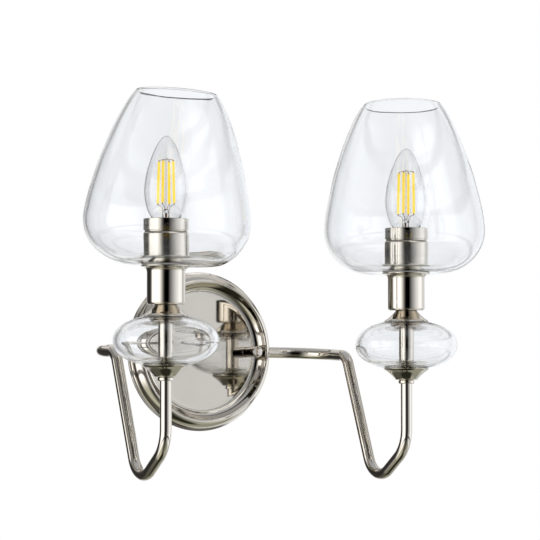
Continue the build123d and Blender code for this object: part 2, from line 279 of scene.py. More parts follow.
def clear_glass(finish, tone):
    """Blown glass: long soft ripples in a clear wall."""
    finish.set(Base_Color=tone, Roughness=0.0, IOR=1.5, Transmission_Weight=1.0)
    ripple = finish.cloud(34, 1, (1, 1, 0.25)) + 0.4 * finish.cloud(90, 1, (1, 1, 0.5))
    finish.bump(ripple, 0.10, 0.0008)


def bulb_glass(finish):
    """The bulb's thin machine-blown wall, a little clearer than the shades."""
    finish.set(
        Base_Color=(0.992, 0.994, 0.997), Roughness=0.0, IOR=1.5, Transmission_Weight=1.0
    )
    finish.bump(finish.cloud(60, 1), 0.02, 0.0005)


def light_strip(finish, tone):
    """The strips' soft coat, a deep yellow with paler flecks, also emitted as a faint painted glow.
    """
    fleck = finish.cloud(260, 3)
    coat_and_painted_glow = finish.blend(finish.ramp(fleck, (0.3, 0.0), (0.7, 1.0)), tone, (1.0, 0.78, 0.08))
    # The coat colour also goes to Emission: a painted glow that brightens the strips.
    finish.set(
        Base_Color=coat_and_painted_glow, Emission_Color=coat_and_painted_glow, Emission_Strength=0.8, Roughness=0.45 + 0.2 * fleck
    )
    finish.bump(fleck, 0.2, 0.0002)


def lead_wire(finish):
    """Drawn wire, partly coppery where it was heated."""
    heat = finish.cloud(420, 2)
    heated = finish.ramp(heat, (0.4, 0.0), (0.6, 1.0))
    finish.set(
        Base_Color=finish.blend(heated, (0.50, 0.25, 0.14), (0.40, 0.36, 0.33)),
        Metallic=1.0,
        Roughness=0.25 + 0.2 * heat,
    )


def plated_steel(finish):
    """Zinc plate with its mottled bloom."""
    bloom = finish.cloud(700, 4)
    finish.set(
        Base_Color=finish.blend(bloom, (0.50, 0.51, 0.54), (0.66, 0.66, 0.64)),
        Metallic=1.0,
        Roughness=0.28 + 0.25 * bloom,
    )
    finish.bump(bloom, 0.15, 0.0001)


def plain_brass(finish):
    """Brass with a light brown bloom."""
    bloom = finish.cloud(420, 4)
    finish.set(
        Base_Color=finish.blend(bloom, (0.62, 0.43, 0.17), (0.78, 0.60, 0.30)),
        Metallic=1.0,
        Roughness=0.22 + 0.25 * bloom,
    )
    finish.bump(finish.cloud(1600, 2), 0.1, 0.0001)


def cap_metal(finish):
    """The bulb cap's thin plated sheet, a little scuffed."""
    scuff = finish.cloud(900, 4, (1, 1, 0.2))
    finish.set(
        Base_Color=finish.blend(scuff, (0.62, 0.62, 0.61), (0.80, 0.79, 0.77)),
        Metallic=1.0,
        Roughness=0.16 + 0.25 * scuff,
    )


def solder(finish):
    """The contact's dull solder."""
    lump = finish.cloud(1300, 3)
    finish.set(
        Base_Color=finish.blend(lump, (0.40, 0.40, 0.41), (0.62, 0.62, 0.62)),
        Metallic=1.0,
        Roughness=0.35 + 0.25 * lump,
    )
    finish.bump(lump, 0.4, 0.0002)


def dark_vitrite(finish):
    """The black glass that insulates the bulb's contact."""
    flow = finish.cloud(500, 3)
    finish.set(
        Base_Color=finish.blend(flow, (0.012, 0.012, 0.015), (0.04, 0.035, 0.04)),
        Roughness=0.12 + 0.15 * flow,
    )
    finish.bump(flow, 0.3, 0.0002)


def dark_moulding(finish):
    """The lampholder's dark moulded body, finely sparked."""
    spark = finish.cloud(2600, 2)
    finish.set(
        Base_Color=finish.blend(finish.cloud(120, 3), (0.030, 0.030, 0.032), (0.055, 0.052, 0.05)),
        Roughness=0.42 + 0.2 * spark,
    )
    finish.bump(spark, 0.25, 0.0001)


def clear_washer(finish):
    """The milky soft washers."""
    milk = finish.cloud(400, 3)
    finish.set(
        Base_Color=finish.blend(milk, (0.80, 0.80, 0.77), (0.90, 0.90, 0.88)),
        Roughness=0.4 + 0.2 * milk,
    )
    finish.bump(milk, 0.1, 0.0001)


# Each slot's maker, and the sidebar colour that it takes, if any.
MAKERS = {
    "polished_nickel": (nickel, "nickel"),
    "clear_glass": (clear_glass, "clear"),
    "bulb_glass": (bulb_glass,),
    "filament": (light_strip, "strip"),
    "lead_wire": (lead_wire,),
    "cap_metal": (cap_metal,),
    "cap_insulator": (dark_vitrite,),
    "contact_metal": (solder,),
    "lampholder": (dark_moulding,),
    "brass": (plain_brass,),
    "zinc_steel": (plated_steel,),
    "gasket": (clear_washer,),
}


def material_for(slot):
    """The finish of a record's slot, made once."""
    made = bpy.data.materials.get("finish_" + slot)
    if made is None:
        maker, *tones = MAKERS[slot]
        finish = Finish("finish_" + slot)
        maker(finish, *[tuple(getattr(bpy.context.scene.sconce_finish, tone)) for tone in tones])
        made = finish.material
    return made


# ---------------------------------------------------------------- outlines

def flowing(points, steps=8):
    """Points along the smoothest line through the given ones (a natural cubic spline)."""
    knots = np.array(points, float)
    chords = np.linalg.norm(np.diff(knots, axis=0), axis=1)
    system = np.eye(len(knots))
    right = np.zeros_like(knots)
    for i in range(1, len(knots) - 1):
        a, b = chords[i - 1], chords[i]
        system[i, i - 1:i + 2] = a, 2 * (a + b), b
        right[i] = 6 * ((knots[i + 1] - knots[i]) / b - (knots[i] - knots[i - 1]) / a)
    bend = np.linalg.solve(system, right)
    line = []
    for i, chord in enumerate(chords):
        for k in range(steps):
            t = k / steps
            s = 1 - t
            point = s * knots[i] + t * knots[i + 1]
            point += chord * chord / 6 * ((s ** 3 - s) * bend[i] + (t ** 3 - t) * bend[i + 1])
            line.append(tuple(point))
    return line + [tuple(knots[-1])]


def eased(corners, steps=5):
    """A closed outline whose corners (radius, height, ease) are rounded off."""
    most = 0.48  # of a side, so that the roundings at its two ends never meet
    outline = []
    for i, (x, z, ease) in enumerate(corners):
        here = Vector((x, z))
        if not ease:
            outline.append((x, z))
            continue
        back = Vector(corners[i - 1][:2]) - here
        onward = Vector(corners[(i + 1) % len(corners)][:2]) - here
        start = here + back.normalized() * min(ease, back.length * most)
        end = here + onward.normalized() * min(ease, onward.length * most)
        for k in range(steps + 1):
            t = k / steps
            outline.append(tuple(start * (1 - t) ** 2 + here * 2 * t * (1 - t) + end * t * t))
    return outline


def beside(line, gap):
    """A line moved to its left by a gap."""
    points = np.array(line)
    along = np.gradient(points, axis=0)
    along /= np.linalg.norm(along, axis=1)[:, None]
    return [tuple(p) for p in points + gap * np.column_stack([-along[:, 1], along[:, 0]])]


def lip(start, end, steps=6):
    """The points of a half round that joins two lines' ends, in the direction of travel."""
    start, end = Vector(start), Vector(end)
    middle, half = (start + end) / 2, (start - end) / 2
    out = Vector((half.y, -half.x))
    if out.y < 0:
        out = -out
    turns = [math.pi * k / steps for k in range(1, steps)]
    return [tuple(middle + half * math.cos(t) + out * math.sin(t)) for t in turns]


def quarter_round(middle_r, middle_z, radius, steps=8):
    """A quarter round from straight down to straight out."""
    turns = [math.radians(-90 + 90 * k / steps) for k in range(steps + 1)]
    return [(middle_r + radius * math.cos(t), middle_z + radius * math.sin(t)) for t in turns]


# ---------------------------------------------------------------- meshes and pieces

def turned(name, outline, steps=128):
    """Spin a closed outline of (radius, height) round the upright axis, faces outwards."""
    pairs = zip(outline, outline[1:] + outline[:1])
    if sum(a[0] * b[1] - b[0] * a[1] for a, b in pairs) < 0:
        outline = outline[::-1]
    on_axis = 1e-6
    points, rings, faces = [], [], []
    for radius, height in outline:
        count = 1 if radius < on_axis else steps
        rings.append([len(points) + k % count for k in range(steps + 1)])
        for k in range(count):
            turn = 2 * math.pi * k / steps
            points.append((radius * math.cos(turn) * MM, radius * math.sin(turn) * MM, height * MM))
    for low, high in zip(rings, rings[1:] + rings[:1]):
        for k in range(steps):
            corners = dict.fromkeys((low[k], low[k + 1], high[k + 1], high[k]))
            if len(corners) > 2:
                faces.append(tuple(corners))
    mesh = bpy.data.meshes.new(name)
    mesh.from_pydata(points, [], faces)
    return mesh


SHARP_FROM = math.radians(32)


def add_piece(name, mesh, body, slot, *nodes, place=None):
    """Put a finished mesh in the scene as a piece of one body, in place of CAD nodes."""
    if place:
        mesh.transform(place)
    mesh.shade_smooth()
    mesh.set_sharp_from_angle(angle=SHARP_FROM)
    mesh.materials.clear()
    mesh.materials.append(material_for(slot))
    piece = bpy.data.objects.new(name, mesh)
    bpy.context.scene.collection.objects.link(piece)
    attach(piece, body)
    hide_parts(*nodes)
    return piece


def lamp_place(side):
    metal = bpy.context.scene.sconce_metal
    return Matrix.Translation((SIDES[side] * metal.lamp_x, metal.lamp_y, 0))


def add_on_lamps(name, outline, slot, node, body="frame", steps=128):
    """The same turned piece on both lamp axes."""
    for side in SIDES:
        mesh = turned(f"{name}_{side}", outline, steps)
        rides = body if body == "frame" else f"{body}_{side}"
        add_piece(f"{name}_{side}", mesh, rides, slot, f"{node}_{side}", place=lamp_place(side))


# ---------------------------------------------------------------- geometry node trees

def node_group(name, inputs):
    """An empty geometry node tree with named inputs, and its Graph and input node."""
    tree = bpy.data.node_groups.new(name, "GeometryNodeTree")
    for label, kind in inputs:
        tree.interface.new_socket(label, in_out="INPUT", socket_type="NodeSocket" + kind)
    tree.interface.new_socket("Mesh", in_out="OUTPUT", socket_type="NodeSocketGeometry")
    graph = Graph(tree)
    source = tree.nodes.new("NodeGroupInput")
    return graph, {label: Wire(graph, source.outputs[label]) for label, _ in inputs}


def close_group(graph, geometry, finish):
    """End a tree in Realize Instances and Set Material."""
    real = graph.node("GeometryNodeRealizeInstances", {}, {"Geometry": geometry})
    painted = graph.node("GeometryNodeSetMaterial", {}, {"Geometry": real, "Material": finish})
    end = graph.tree.nodes.new("NodeGroupOutput")
    graph.plug(end.inputs["Mesh"], painted)
    return graph.tree


def bent_tube_tree():
    """A tube along straight runs, bent at each corner to the radius stored there."""
    graph, given = node_group("bent_tube", [
        ("Runs", "Geometry"), ("Tube Radius", "Float"), ("Sides", "Int"), ("Bend Steps", "Int"),
        ("Finish", "Material"),
    ])
    runs = graph.node("GeometryNodeMeshToCurve", {}, {"Mesh": given["Runs"]})
    bend = graph.node("GeometryNodeInputNamedAttribute", {"data_type": "FLOAT"}, {"Name": "bend"})
    bent = graph.node(
        "GeometryNodeFilletCurve", {"mode": "POLY"},
        {"Curve": runs, "Count": given["Bend Steps"], "Radius": bend},
    )
    ring = graph.node("GeometryNodeCurvePrimitiveCircle", {}, {
        "Resolution": given["Sides"], "Radius": given["Tube Radius"],
    })
    tube = graph.node("GeometryNodeCurveToMesh", {}, {"Curve": bent, "Profile Curve": ring})
    return close_group(graph, tube, given["Finish"])


ROD_SIDES = 20


def rod_crown_tree():
    """Straight rods that stand in a ring, each from a foot circle to a head circle."""
    graph, given = node_group("rod_crown", [
        ("Count", "Int"), ("Foot", "Vector"), ("Head", "Vector"), ("Rod Radius", "Float"),
        ("Turn", "Float"), ("Middle", "Vector"), ("Finish", "Material"),
    ])
    run = graph.node("GeometryNodeCurvePrimitiveLine", {}, {
        "Start": given["Foot"], "End": given["Head"],
    })
    ring = graph.node("GeometryNodeCurvePrimitiveCircle", {}, {
        "Resolution": ROD_SIDES, "Radius": given["Rod Radius"],
    })
    rod = graph.node("GeometryNodeCurveToMesh", {}, {
        "Curve": run, "Profile Curve": ring, "Fill Caps": True,
    })
    posts = graph.node("GeometryNodePoints", {}, {
        "Count": given["Count"], "Position": given["Middle"],
    })
    step = graph.maths("DIVIDE", 2 * math.pi, given["Count"])
    turn = graph.node("GeometryNodeInputIndex") * step + given["Turn"]
    facing = graph.node("ShaderNodeCombineXYZ", {}, {"Z": turn})
    crown = graph.node("GeometryNodeInstanceOnPoints", {}, {
        "Points": posts, "Instance": rod, "Rotation": facing,
    })
    return close_group(graph, crown, given["Finish"])


def grown(name, start, tree, values, wall=0.0):
    """Run a tree on a starting mesh and return the result as a plain mesh."""
    holder = bpy.data.objects.new(name, start)
    bpy.context.scene.collection.objects.link(holder)
    modifier = holder.modifiers.new("shape", "NODES")
    modifier.node_group = tree
    for item in tree.interface.items_tree:
        if item.in_out == "INPUT" and item.name in values:
            modifier[item.identifier] = values[item.name]
    if wall:
        inwards = -1.0
        skin = holder.modifiers.new("wall", "SOLIDIFY")
        skin.thickness, skin.offset = wall, inwards
    bpy.context.view_layer.update()
    evaluated = holder.evaluated_get(bpy.context.evaluated_depsgraph_get())
    mesh = bpy.data.meshes.new_from_object(evaluated)
    bpy.data.objects.remove(holder)
    return mesh


def joined(name, *meshes):
    """Meshes as one, with doubles merged and faces outwards."""
    same_spot = 1e-7
    whole = bmesh.new()
    for mesh in meshes:
        whole.from_mesh(mesh)
    bmesh.ops.remove_doubles(whole, verts=whole.verts, dist=same_spot)
    bmesh.ops.recalc_face_normals(whole, faces=whole.faces)
    mesh = bpy.data.meshes.new(name)
    whole.to_mesh(mesh)
    whole.free()
    return mesh


# ---------------------------------------------------------------- the wall plate, knobs and arms

class SCONCE_OT_wall_plate(bpy.types.Operator):
    """Spin the dished plate: foot, domed side, rolled rim, coved wall and flat face"""
    bl_idname = "sconce.wall_plate"
    bl_label = "Wall Plate"

    def execute(self, context):
        size = InMillimetres(context.scene.sconce_metal)
        foot, rim, face, sheet = size.plate_r, size.rim_depth, size.face_depth, 1.0
        side = flowing([
            (65.7, 2.6), (65.5, 6.2), (64.3, 10.0), (62.2, 12.8), (60.4, rim - 0.1), (59.5, rim),
        ])
        wall = flowing([
            (58.3, rim - 0.8), (57.0, 11.0), (54.9, 8.1), (52.4, face + 0.5), (49.6, face),
        ])
        front = [(foot - 0.15, 0.0), (foot, 0.15), (foot, 1.45), (foot - 0.2, 1.7), (66.1, 2.1)]
        front += side + [(58.9, rim - 0.15), (58.5, rim - 0.45)] + wall
        front += [(r, face) for r in (46.0, 38.0, 28.0, 16.0, 0.0)]
        back = beside(side, sheet)[:-1] + beside(wall, sheet)[1:]
        inside = [(foot - sheet, 0.0), (foot - sheet, 1.0)] + back + [(0.0, face - sheet)]
        mesh = turned("plate", front + inside[::-1], steps=256)
        add_piece("nickel_plate", mesh, "frame", "polished_nickel", "wall_plate", place=OUT_OF_WALL)
        return {"FINISHED"}


class SCONCE_OT_knobs(bpy.types.Operator):
    """Turn the two round knobs that hold the plate"""
    bl_idname = "sconce.knobs"
    bl_label = "Knobs"

    def execute(self, context):
        metal = context.scene.sconce_metal
        size = InMillimetres(metal)
        base = size.face_depth + 0.1
        top = base + size.knob_length
        bore_r, bore_end = 2.05, base + 15.9
        corners = [
            (0, bore_end, 0), (bore_r, bore_end, 0), (bore_r, base, 0.2),
            (size.knob_r, base, 0.25), (size.knob_r, top, 0.8), (0, top, 0),
        ]
        for side, sign in SIDES.items():
            place = Matrix.Translation((sign * metal.knob_x, 0, 0)) @ OUT_OF_WALL
            mesh = turned("knob", eased(corners), steps=64)
            add_piece(f"knob_dressed_{side}", mesh, f"knob_{side}", "polished_nickel",
                      f"knob_{side}", place=place)
        return {"FINISHED"}


class SCONCE_OT_arms(bpy.types.Operator):
    """Bend the two arm tubes along the plate, out, down, round and up to the lamps"""
    bl_idname = "sconce.arms"
    bl_label = "Arms"

    def execute(self, context):
        metal = context.scene.sconce_metal
        corners = [  # x, y, z in millimetres and the bend's radius
            (60.0, -7.5, 0.0, 0.0), (109.5, -7.5, 0.0, 38.0),
            (109.9, -63.5, -3.7, 12.0), (111.0, -108.8, -114.4, 20.5),
            (112.0, -158.0, -81.2, 28.0), (112.0, -158.0, -22.0, 0.0),
        ]
        tree = bent_tube_tree()
        for side, sign in SIDES.items():
            runs = bpy.data.meshes.new("arm_runs")
            runs.from_pydata(
                [(sign * x * MM, y * MM, z * MM) for x, y, z, _ in corners],
                [(i, i + 1) for i in range(len(corners) - 1)], [],
            )
            bends = runs.attributes.new("bend", "FLOAT", "POINT")
            bends.data.foreach_set("value", [bend * MM for *_, bend in corners])
            tube = grown("arm", runs, tree, {
                "Tube Radius": metal.tube_r, "Sides": 48, "Bend Steps": 20,
                "Finish": material_for("polished_nickel"),
            }, wall=metal.tube_wall)
            mesh = joined(f"arm_{side}", tube)
            add_piece(f"bent_arm_{side}", mesh, "frame", "polished_nickel", f"arm_{side}")
        return {"FINISHED"}


# ---------------------------------------------------------------- the lamp stacks

BALL_MIDDLE = 3.0
BALL_FULLNESS = 2.15  # 2 would be an ellipse
SEAT_BASE = 31.5


def ball_line(radius, half_height, steps=40, hole=8.5):
    """The ball's side from its lower hole to its upper one, a little fuller than an ellipse."""
    end = math.acos(min(1.0, (hole / radius) ** (BALL_FULLNESS / 2)))
    line = []
    for k in range(-steps, steps + 1):
        turn = end * k / steps
        across = radius * math.cos(turn) ** (2 / BALL_FULLNESS)
        height = half_height * abs(math.sin(turn)) ** (2 / BALL_FULLNESS)
        line.append((across, BALL_MIDDLE + math.copysign(height, turn)))
    return line


def ball_height(radius, glass):
    """How far the ball's surface stands above or below its middle at a radius."""
    left_over = 1 - (radius / glass.ball_r) ** BALL_FULLNESS
    return glass.ball_half_height * left_over ** (1 / BALL_FULLNESS)


def cup_outline(base, rim, bore, glass):
    """A coved cup from its small end at a height to the rim that holds the ball."""
    side = flowing([
        (9.5, 0.8), (11.0, 2.4), (13.4, 4.7), (16.0, 6.7), (17.9, 8.0), (rim - 0.1, 9.0),
    ])
    clear = 0.04
    reach = abs(base - BALL_MIDDLE) - clear
    seat = [(r, reach - ball_height(r, glass)) for r in (rim - 0.5, 17.6, 16.9)]
    inside = [(15.4, 8.2), (12.6, 5.6), (9.2, 2.2), (8.2, 1.6), (bore, 1.6)]
    up = math.copysign(1, BALL_MIDDLE - base)
    cup = [(bore, 0.0), (8.7, 0.0), (9.2, 0.25)] + side + [(rim, 9.3)] + seat + inside
    return [(r, base + up * z) for r, z in cup]


class SCONCE_OT_beads_and_cups(bpy.types.Operator):
    """Turn the beads and the coved cups over and under each ball"""
    bl_idname = "sconce.beads_and_cups"
    bl_label = "Beads and Cups"

    def execute(self, context):
        size = InMillimetres(context.scene.sconce_metal)
        glass = InMillimetres(context.scene.sconce_glass)
        bore = size.tube_r + 0.05
        bead, low, high = size.bead_r, -29.1, -25.95
        corners = [(bore, low, 0.2), (bead, low, 1.4), (bead, high, 1.4), (bore, high, 0.2)]
        add_on_lamps("bead", eased(corners), "polished_nickel", "arm_bead")

        for name, node, base in (
            ("cup_under", "lower_cup", -25.9), ("cup_over", "upper_cup", SEAT_BASE),
        ):
            add_on_lamps(name, cup_outline(base, size.cup_r, bore, glass), "polished_nickel", node)

        rod, collar = size.spindle_r, size.spindle_r + 0.6
        spindle = [
            (bore, -24.2, 0), (rod, -24.2, 0.3), (rod, 25.0, 0.2), (collar, 25.2, 0.2),
            (collar, 27.6, 0.4), (rod, 27.9, 0.2), (rod, 29.8, 0.2), (bore, 29.8, 0),
        ]
        add_on_lamps("spindle", eased(spindle), "polished_nickel", "ball_spindle")
        return {"FINISHED"}


class SCONCE_OT_glass_balls(bpy.types.Operator):
    """Blow the hollow flattened balls"""
    bl_idname = "sconce.glass_balls"
    bl_label = "Glass Balls"

    def execute(self, context):
        size = InMillimetres(context.scene.sconce_glass)
        outer = ball_line(size.ball_r, size.ball_half_height)
        inner = ball_line(size.ball_r - size.ball_wall, size.ball_half_height - size.ball_wall)
        add_on_lamps("blown_ball", outer + inner[::-1], "clear_glass", "glass_ball", steps=160)
        return {"FINISHED"}


class SCONCE_OT_sleeves(bpy.types.Operator):
    """Turn the seat under each shade, the sleeve inside it and the clamping ring"""
    bl_idname = "sconce.sleeves"
    bl_label = "Seats, Sleeves and Rings"

    def execute(self, context):
        size = InMillimetres(context.scene.sconce_metal)
        seat = size.seat_r
        cove = flowing([(seat, 57.4), (seat + 0.35, 59.2), (seat + 1.7, 60.9), (seat + 3.9, 61.7)])
        hole, bowl = 4.05, 2.2
        below = quarter_round(seat - bowl, SEAT_BASE + bowl, bowl)
        flange = [(20.0, 61.9), (20.2, 62.1), (20.2, 62.6), (20.0, 62.8)]
        inside = [(14.4, 62.8), (14.4, 33.0), (hole, 33.0)]
        outline = [(hole, SEAT_BASE), (seat - 2.4, SEAT_BASE)] + below + cove + flange + inside
        add_on_lamps("seat_sleeve", outline, "polished_nickel", "shade_seat")

        sleeve, bottom, top, hole = size.sleeve_r, 67.6, 89.3, 14.2
        corners = [
            (20.7, bottom, 0.2), (20.7, bottom + 0.8, 0.3), (sleeve, bottom + 0.8, 0.5),
            (sleeve, top, 2.6), (hole, top, 0.2), (hole, top - 1, 0.2),
            (sleeve - 1, top - 1, 1.2), (sleeve - 1, bottom, 0.2),
        ]
        add_on_lamps("holder_sleeve", eased(corners, 7), "polished_nickel", "upper_sleeve")

        ring, neck, low, high, hole = size.ring_r, 89.4, 90.5, 100.0, 13.95
        corners = [
            (hole, neck, 0.1), (ring - 0.8, neck, 0.2), (ring - 0.8, low, 0.2), (ring, low, 0.35),
            (ring, high, 0.4), (ring - 1.2, high, 0.4), (ring - 1.2, low + 3, 0.3),
            (hole, low + 3, 0.2),
        ]
        add_on_lamps("clamp_ring", eased(corners), "polished_nickel", "shade_ring", body="ring")
        return {"FINISHED"}


# ---------------------------------------------------------------- shades

SHADE_BASE = 63.43
SHADE_HOLE = 14.6
SEAT_TOP = 66.97  # the top of the thick base, inside
SEATED_R = 23  # the base is held true as far out as this
SEATED_FADE = 26  # and over this much more it gives way to the lean
SWELL = 0.004  # the most that the whole wall swells by, as a share of its radius
SWELL_SCALE = 14  # in cells to the metre
RIPPLES_ROUND, RIPPLES_UP = 38, 12  # in cells to the metre, round the shade and up it
UNTRUE_WAYS = ("lean", "back", "aside", "stretch")  # in the order that blown() takes them


def shade_line():
    """The shade's outside, from the hole in its base up to the rim."""
    return flowing([
        (SHADE_HOLE, SHADE_BASE), (25.0, SHADE_BASE + 0.05), (36.0, 63.9), (44.6, 66.0),
        (51.5, 69.6), (57.4, 74.4), (61.8, 80.0), (65.4, 87.4), (67.0, 96.0), (66.4, 106.0),
        (64.6, 117.0), (62.2, 127.5), (58.8, 141.5), (54.3, 156.0), (49.0, 171.0), (42.9, 185.0),
        (38.2, 194.0), (33.2, 201.3),
    ], steps=7)


def blown(mesh, inner, lean, back, aside, tall, waves, seed):
    """Stretch a shade and lean it over above its seated base, and ripple the inner vertices."""
    turn = math.radians(CAMERA_TURN)
    right = Vector((math.cos(turn), math.sin(turn), 0))
    away = Vector((-math.sin(turn), math.cos(turn), 0))
    over = right * lean + away * back
    tilt = Matrix.Rotation(over.length, 3, Vector((0, 0, 1)).cross(over))
    base = Vector((0, 0, SHADE_BASE * MM))
    for vertex in mesh.vertices:
        spot = vertex.co - base
        far = min(1.0, max(0.0, (spot.length / MM - SEATED_R) / SEATED_FADE))
        far = far * far * (3 - 2 * far)
        # The whole wall swells a little, and its inside has finer, upright ripples.
        swell = 1 + SWELL * far * noise.noise(spot * SWELL_SCALE + Vector((seed, 0, 0)))
        spot = Vector((spot.x * swell, spot.y * swell, spot.z * (1 + (tall - 1) * far)))
        if vertex.index in inner:
            ripple = noise.noise(Vector((
                spot.x * RIPPLES_ROUND, spot.y * RIPPLES_ROUND, spot.z * RIPPLES_UP + seed,
            )))
            spot += Vector((spot.x, spot.y, 0)).normalized() * ripple * waves * far
        vertex.co = base + spot.lerp(tilt @ spot + right * aside, far)


class SCONCE_OT_shades(bpy.types.Operator):
    """Blow the two open shades, each a little out of true"""
    bl_idname = "sconce.shades"
    bl_label = "Glass Shades"

    def execute(self, context):
        glass = context.scene.sconce_glass
        wall = glass.shade_wall / MM
        outer = shade_line()
        inner = [p for p in beside(outer, wall) if p[0] > 24.0]
        base = [(20.0, SEAT_TOP), (SHADE_HOLE, SEAT_TOP)]
        outline = outer + lip(outer[-1], inner[-1]) + inner[::-1] + base
        steps, half_lip = 160, 3
        inside = range((len(outer) + half_lip) * steps, (len(outline) - len(base)) * steps)
        for count, side in enumerate(SIDES):
            mesh = turned("shade", outline, steps)
            untrue = [getattr(glass, f"{way}_{side}") for way in UNTRUE_WAYS]
            blown(mesh, inside, *untrue, glass.shade_waves, seed=7.3 * count + 1.7)
            add_piece(f"blown_shade_{side}", mesh, "frame", "clear_glass", f"glass_shade_{side}",
                      place=lamp_place(side))
        return {"FINISHED"}


# ---------------------------------------------------------------- bulbs

PRESS_TOP = 107.5
STEM_TOP = 148.5
BULB_TIP = 166.3
STRIP_TURN = 40.4  # degrees round the bulb from the viewer's right


class SCONCE_OT_bulb_glass(bpy.types.Operator):
    """Blow the candle bulbs and the glass mounts inside them"""
    bl_idname = "sconce.bulb_glass"
    bl_label = "Bulb Glass"

    def execute(self, context):
        size = InMillimetres(context.scene.sconce_glass)
        outer = flowing([
            (6.3, 93.0), (6.4, 94.9), (8.6, 97.9), (12.8, 102.4), (16.0, 110.6),
            (size.bulb_r, 121.0), (16.9, 131.2), (14.8, 141.2), (11.6, 150.6), (8.1, 158.2),
            (4.5, 163.6), (1.6, 166.0), (0.0, BULB_TIP),
        ])
        inner = [p for p in beside(outer[:-1], size.bulb_wall) if p[0] >= 0]
        inner.append((0.0, BULB_TIP - size.bulb_wall))
        add_on_lamps("candle_glass", outer + inner[::-1], "bulb_glass", "bulb_glass", body="bulb")

        foot = [(0.0, 93.2), (5.4, 93.2)]
        flare = flowing([
            (5.4, 94.0), (4.3, 96.2), (3.3, 99.0), (2.8, 102.6), (2.8, PRESS_TOP - 1.6),
        ])
        press = [(2.2, PRESS_TOP - 0.4), (1.0, PRESS_TOP + 0.2)]
        rod = [(0.7, PRESS_TOP + 1.2), (0.7, STEM_TOP - 0.5), (0.4, STEM_TOP), (0.0, STEM_TOP)]
        mount = foot + flare + press + rod
        add_on_lamps("glass_mount", mount, "bulb_glass", "bulb_stem", body="bulb", steps=32)
        return {"FINISHED"}


class SCONCE_OT_light_strips(bpy.types.Operator):
    """Stand the light strips in each bulb and wire their ends"""
    bl_idname = "sconce.light_strips"
    bl_label = "Light Strips"

    def execute(self, context):
        glass = context.scene.sconce_glass
        tree = rod_crown_tree()
        blank = bpy.data.meshes.new("blank")

        thin, tab, pin = 0.22 * MM, 0.45 * MM, 0.4 * MM
        wire_out, wire_up = (2.2, PRESS_TOP - 2.8), (3.4, PRESS_TOP + 2.2)
        wires = [
            ((7.03, 111.0), (6.98, 113.1), tab),
            ((6.22, 144.9), (6.17, 146.9), tab),
            (wire_out, wire_up, thin),
            (wire_up, (7.03, 111.2), thin),
            ((0.45, STEM_TOP - 0.8), (6.2, 146.6), thin),
            ((1.0, PRESS_TOP - 9.5), wire_out, pin, STRIP_TURN + 20),
        ]

        def crown(slot, middle, foot, head, radius, turn=STRIP_TURN):
            return grown("crown", blank.copy(), tree, {
                "Count": glass.filament_count, "Rod Radius": radius, "Turn": math.radians(turn),
                "Foot": Vector((foot[0], 0, foot[1])) * MM, "Middle": middle,
                "Head": Vector((head[0], 0, head[1])) * MM, "Finish": material_for(slot),
            })

        for side in SIDES:
            middle = lamp_place(side).translation
            strips = crown("filament", middle, (7.0, 112.4), (6.2, 145.6), glass.filament_r)
            add_piece(f"light_strips_{side}", joined("strips", strips), f"bulb_{side}", "filament",
                      f"bulb_filaments_{side}")
            leads = joined("wires", *[crown("lead_wire", middle, *wire) for wire in wires])
            add_piece(f"lead_wires_{side}", leads, f"bulb_{side}", "lead_wire",
                      f"bulb_wires_{side}")
        return {"FINISHED"}


# ---------------------------------------------------------------- CAD parts that stay

KEPT = {
    "mounting_strap": "zinc_steel",
    "plate_studs": "zinc_steel",
    "earth_screw": "brass",
    "threaded_rod": "zinc_steel",
    "rod_nut": "zinc_steel",
    "shade_gaskets": "gasket",
    "lampholder": "lampholder",
    "screw_shell": "brass",
    "holder_contact": "brass",
    "bulb_cap": "cap_metal",
    "bulb_insulator": "cap_insulator",
    "bulb_tip_contact": "contact_metal",
}


class SCONCE_OT_inner_parts(bpy.types.Operator):
    """Finish the strap, rods, lampholders and bulb caps, which keep their CAD shapes"""
    bl_idname = "sconce.inner_parts"
    bl_label = "Inner Parts"

    def execute(self, context):
        for name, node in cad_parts.items():
            kind = name.removesuffix("_left").removesuffix("_right")
            if kind in KEPT:
                node.data.materials.clear()
                node.data.materials.append(material_for(KEPT[kind]))
        return {"FINISHED"}


# ---------------------------------------------------------------- the stage

# How bright the studio is that the metal and glass show, as (degrees, level), round from the
# camera's own direction to the viewer's right: on a level and from well above.
STUDIO_LEVEL = (
    (-180, 1.0), (-160, 0.85), (-150, 0.06), (-110, 0.03), (-102, 0.08), (-94, 0.55), (-86, 1.7),
    (-45, 2.0), (-33, 1.3), (-28, 1.00), (-21, 0.50), (-15, 0.20), (-10, 0.06), (-5, 0.0),
    (16, 0.0), (21, 0.08), (27, 0.20), (34, 0.34), (46, 0.58), (60, 0.90), (74, 1.15),
    (89, 1.45), (105, 1.40), (119, 0.85), (150, 0.95), (180, 1.0),
)
STUDIO_ABOVE = (
    (-180, 0.95), (-150, 0.80), (-120, 0.45), (-95, 0.38), (-35, 0.34), (-5, 0.15), (15, 0.15),
    (24, 1.40), (56, 1.50), (78, 0.70), (120, 0.75), (150, 0.90), (180, 0.95),
)
STUDIO_PEAK = 2.0
WHITE = (1.0, 1.0, 1.0)
EVEN_GREY = (0.9, 0.9, 0.9)
THROUGH_GLASS = (0.968, 0.982, 1.0)
COOLER = (1.0, 1.03, 1.08)
CEILING = (0.50, 0.52, 0.57)
RAIL = (0.05, 0.04, 0.03)
FLOOR_SHEEN = (0.42, 0.42, 0.34)
FLOOR_GLOW = (0.34, 0.34, 0.27)
STRAIGHT_DOWN = (0.03, 0.03, 0.02)


def look_back():
    """The unit vector from the light towards the camera."""
    turn, tilt = math.radians(CAMERA_TURN), math.radians(CAMERA_TILT)
    level = math.cos(tilt)
    return Vector((math.sin(turn) * level, -math.cos(turn) * level, math.sin(tilt)))


